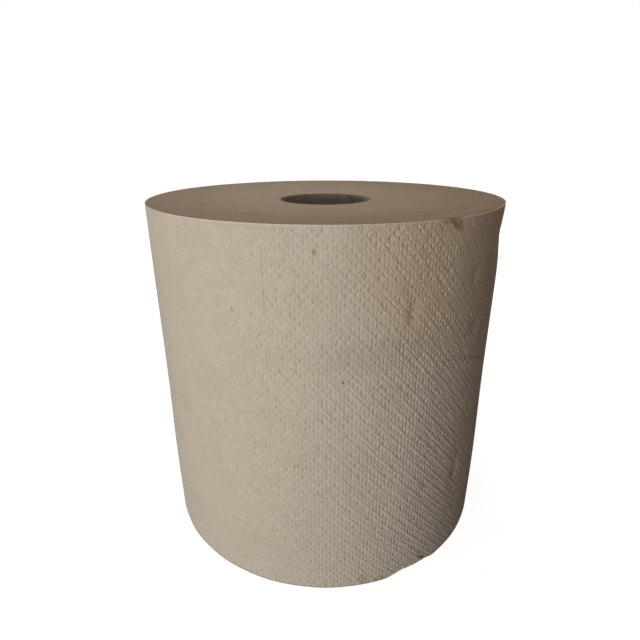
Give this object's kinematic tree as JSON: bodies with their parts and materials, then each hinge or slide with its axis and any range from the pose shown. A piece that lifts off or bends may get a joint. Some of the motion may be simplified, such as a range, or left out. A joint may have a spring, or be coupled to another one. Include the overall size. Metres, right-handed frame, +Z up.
{
  "type": "paper towel roll",
  "caption": "Wound roll of embossed natural brown towel paper on a spirally wound board core, dished at its ends, standing on its flat end with an open bore for a spindle.",
  "frame": {"origin": "middle of the face that the roll stands on, on the axis of the core", "axes": "+Z up along the core, towards the dished end; -Y towards the viewer of the picture; the tail of the web is at the back"},
  "size_m": [0.1994, 0.1997, 0.195],
  "materials": {
    "towel_paper": "matt, embossed, natural brown recycled paper",
    "core_board": "matt grey-brown wound board"
  },
  "bodies": {
    "root": {"paper_web": "towel_paper", "core_tube": "core_board"}
  },
  "joints": []
}
